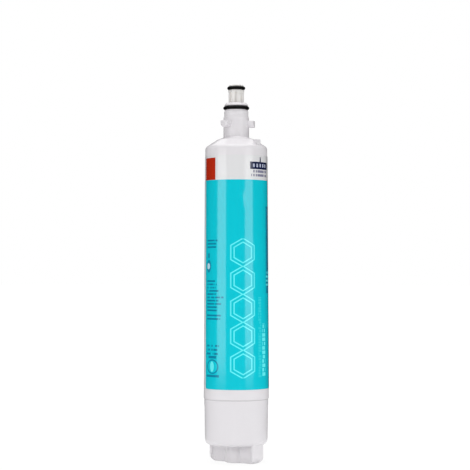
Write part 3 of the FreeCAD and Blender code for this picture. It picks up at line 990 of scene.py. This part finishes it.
# %% Finishes on pieces and solids
dressed = [
    (housing, "housing", "white_plastic", white_plastic),
    (upper_ring, "upper_seal_ring", "seal_rubber", seal_rubber),
    (lower_ring, "lower_seal_ring", "seal_rubber", seal_rubber),
    (film, "label", "label_film", label_film),
]
for piece, node, slot, finish in dressed:
    piece.data.materials.clear()
    piece.data.materials.append(finish)
    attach(piece, "root")
    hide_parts(node)
kept_solids = {
    "end_cap": white_plastic, "outlet_cap": natural_plastic, "lower_block_cap": natural_plastic,
    "carbon_block": carbon, "fleece_wrap": fleece, "identity_tag": tag_film}
for node, finish in kept_solids.items():
    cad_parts[node].data.materials.clear()
    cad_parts[node].data.materials.append(finish)
print("dressed pieces:", len(dressed), "solids kept:", len(kept_solids))

# %% [markdown]
# ## Floor
#
# The object stands on white. Towards the object the floor is white paper that throws the lamps' light
# back up. For the eye it scatters only a little, so its shadow stays faint, and gives off light of its
# own to reach white. Further away, where the lamps are weak, it gives off a bit more.

# %% White floor
floor_size = 40
paper_bounce, paper_seen = 0.85, 0.12
near_glow, far_glow = 0.90, 1.0
near_reach, far_reach = 0.15, 0.8


def white_for_the_eye(tree):
    """One for rays that a viewer follows: straight, mirrored or through glass."""
    path = tree.nodes.new("ShaderNodeLightPath")
    seen = math_node(tree, "MAXIMUM", path.outputs["Is Camera Ray"], path.outputs["Is Glossy Ray"])
    return math_node(tree, "MAXIMUM", seen, path.outputs["Is Transmission Ray"])


clean_slate()
bpy.ops.mesh.primitive_plane_add(size=floor_size)
floor = bpy.context.object
floor.name = "floor"
paper, paper_tree, paper_shader = new_finish(
    "white_paper", (1, 1, 1), roughness=1.0, Specular_IOR_Level=0.0)
paper_shader.inputs["Emission Color"].default_value = (1, 1, 1, 1)
eye = white_for_the_eye(paper_tree)
darker = math_node(paper_tree, "MULTIPLY", eye, paper_bounce - paper_seen)
scatter = math_node(paper_tree, "SUBTRACT", paper_bounce, darker)
paper_tree.links.new(scatter, paper_shader.inputs["Base Color"])
paper_place = paper_tree.nodes.new("ShaderNodeTexCoord")
away = paper_tree.nodes.new("ShaderNodeVectorMath")
away.operation = "LENGTH"
paper_tree.links.new(paper_place.outputs["Object"], away.inputs[0])
fade = paper_tree.nodes.new("ShaderNodeMapRange")
paper_tree.links.new(away.outputs["Value"], fade.inputs["Value"])
fade_range = {"From Min": near_reach, "From Max": far_reach, "To Min": near_glow, "To Max": far_glow}
for socket, value in fade_range.items():
    fade.inputs[socket].default_value = value
glow = math_node(paper_tree, "MULTIPLY", eye, fade.outputs["Result"])
paper_tree.links.new(glow, paper_shader.inputs["Emission Strength"])
floor.data.materials.append(paper)
print(f"floor {floor_size} m wide")

# %% [markdown]
# ## Background
#
# The background is plain white for the eye too. As a light it is weaker, so that the lamps shape the
# object.

# %% White world
fill_light = 0.48
world = bpy.data.worlds.new("studio")
bpy.context.scene.world = world
world.use_nodes = True
sky_tree = world.node_tree
sky = sky_tree.nodes["Background"]
sky.inputs["Color"].default_value = (1, 1, 1, 1)
seen_white = white_for_the_eye(sky_tree)
sky_tree.links.new(math_node(sky_tree, "MAXIMUM", seen_white, fill_light), sky.inputs["Strength"])
print("fill light:", fill_light)

# %% [markdown]
# ## Softboxes and lamps above
#
# Two tall softboxes stand left and right of the camera. In the glossy film each becomes an upright bright
# strip, so their place and width follow from where the strips lie. A lamp straight above lights the
# shoulder, and one above and behind puts a sheen on its slope.

# %% Softboxes
camera_angle = -50
box_distance, box_height, box_foot, box_radiance = 0.8, 0.46, 0.03, 1.25
top_forward, top_z = 0.08, 1.3
back_distance, back_z = 0.8, 1.05


def softbox(name, place, aim, wide, high, radiance):
    """A lamp with an even face that looks at a point."""
    lamp = bpy.data.lights.new(name, "AREA")
    lamp.shape = "RECTANGLE"
    lamp.size, lamp.size_y = wide, high
    lamp.energy = math.pi * wide * high * radiance
    box = bpy.data.objects.new(name, lamp)
    box.location = place
    box.rotation_euler = (aim - place).to_track_quat("-Z", "Y").to_euler()
    bpy.context.scene.collection.objects.link(box)
    return box


box_middle = box_foot + box_height / 2
for name, turn, wide in (("left_softbox", -54.1, 0.49), ("right_softbox", 46.4, 0.43)):
    spot = from_axis(camera_angle + turn, box_distance, box_middle)
    softbox(name, spot, Vector((0, 0, box_middle)), wide, box_height, box_radiance)
neck_foot = Vector((0, 0, neck_foot_z))
top_place = from_axis(camera_angle, top_forward, top_z)
softbox("top_lamp", top_place, neck_foot, wide=0.7, high=0.7, radiance=3.8)
back_place = from_axis(camera_angle + 180, back_distance, back_z)
softbox("back_lamp", back_place, neck_foot, wide=1.2, high=0.5, radiance=1.5)
print("two softboxes and two lamps above")

# %% [markdown]
# ## Lamps without a mirror image
#
# A front lamp evens out the middle, and three low cards of light close to the foot lift the cap and its
# grip. These four are kept out of mirrored rays, so that the film stays deep.

# %% Front lamp and low cards
front_distance, front_z, front_aim_z = 1.1, 0.45, 0.15
card_distance, card_z = 0.25, 0.02


def hide_from_mirrors(lamp):
    lamp.visible_camera = False
    lamp.visible_glossy = False


front_place = from_axis(camera_angle, front_distance, front_z)
front_aim = Vector((0, 0, front_aim_z))
hide_from_mirrors(softbox("front_lamp", front_place, front_aim, wide=1.2, high=0.13, radiance=4.0))
for name, turn, radiance in (("left_card", -60, 1.6), ("front_card", 0, 0.6), ("right_card", 75, 2.6)):
    card_place = from_axis(camera_angle + turn, card_distance, card_z)
    card_aim = Vector((0, 0, card_z))
    hide_from_mirrors(softbox(name, card_place, card_aim, wide=0.25, high=0.04, radiance=radiance))
print("front lamp and three low cards")

# %% [markdown]
# ## Dark curtain
#
# A glossy film mirrors the whole room. A photographer hangs dark cloth round the set, so that the colour
# between the two strips stays deep. This curtain shows in mirrored rays only and takes no light from the
# object. It starts as a small ring on the floor, is extruded outwards over it, because the lower film
# mirrors that too, and then up.

# %% Curtain
curtain_steps = 96
curtain_radius, curtain_height = 3, 4
curtain_foot, curtain_lift = 0.15, 0.002

clean_slate()
bpy.ops.mesh.primitive_circle_add(
    vertices=curtain_steps, radius=curtain_foot, location=(0, 0, curtain_lift))
curtain = bpy.context.object
curtain.name = "curtain"
bpy.ops.object.mode_set(mode="EDIT")
bpy.ops.mesh.select_all(action="SELECT")
extrude_ring(0, curtain_radius / curtain_foot, curtain_lift)
extrude_ring(curtain_height, 1, curtain_lift + curtain_height)
bpy.ops.object.mode_set(mode="OBJECT")
cloth, _, _ = new_finish("dark_cloth", (0.02, 0.02, 0.02), roughness=1.0, Specular_IOR_Level=0.0)
curtain.data.materials.append(cloth)
curtain.visible_camera = False
curtain.visible_diffuse = False
curtain.visible_shadow = False
curtain.visible_transmission = False
print(f"curtain hung {curtain_radius} m from the axis")

# %% [markdown]
# ## Camera
#
# A long lens from a little over a metre keeps the barrel's sides nearly parallel. The camera stands at
# about half the object's height and looks up very slightly.

# %% Camera
camera_distance, camera_z = 1.2, 0.146
camera_tilt = math.radians(1.61)
aim_left = 1.0 * MM

lens = bpy.data.cameras.new("camera")
lens.sensor_width = 36
lens.lens = 115.65
camera = bpy.data.objects.new("camera", lens)
bpy.context.scene.collection.objects.link(camera)
camera.location = from_axis(camera_angle, camera_distance, camera_z)
view_left = from_axis(camera_angle - 90, 1, 0)
aim = Vector((0, 0, camera_z + camera_distance * math.tan(camera_tilt))) + view_left * aim_left
camera.rotation_euler = (aim - camera.location).to_track_quat("-Z", "Y").to_euler()
bpy.context.scene.camera = camera
bpy.context.scene.view_settings.view_transform = "Standard"
print(f"camera {camera_distance:.2f} m away at {camera_angle} degrees")
